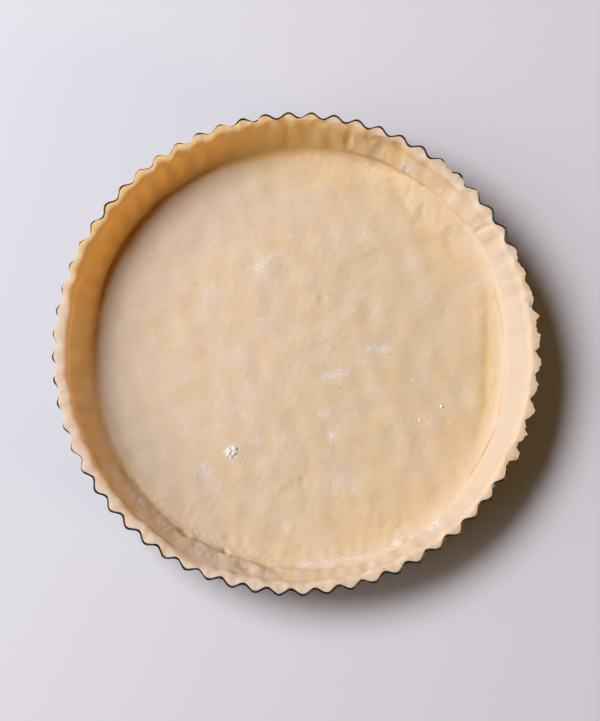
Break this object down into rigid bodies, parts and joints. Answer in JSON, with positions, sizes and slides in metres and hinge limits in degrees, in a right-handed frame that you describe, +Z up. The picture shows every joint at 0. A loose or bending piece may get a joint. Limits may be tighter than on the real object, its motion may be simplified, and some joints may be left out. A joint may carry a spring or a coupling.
{
  "type": "unbaked tart shell in fluted tin",
  "caption": "Raw shortcrust pastry pressed into a round fluted tart tin, trimmed level with its edge and ready to be filled.",
  "frame": {"origin": "centre of the tin's underside, on the surface that it stands on", "axes": "+Z up out of the open shell; +X through a crest of the tin's flutes"},
  "size_m": [0.24, 0.24, 0.0255],
  "materials": {
    "dark_coated_steel": "thin pressed steel sheet with a dark, half-glossy non-stick coating",
    "raw_pastry": "raw shortcrust pastry, pale and matt with a slight buttery sheen, lightly floured"
  },
  "bodies": {
    "root": {"tart_tin": "dark_coated_steel", "pastry_shell": "raw_pastry"}
  },
  "joints": []
}
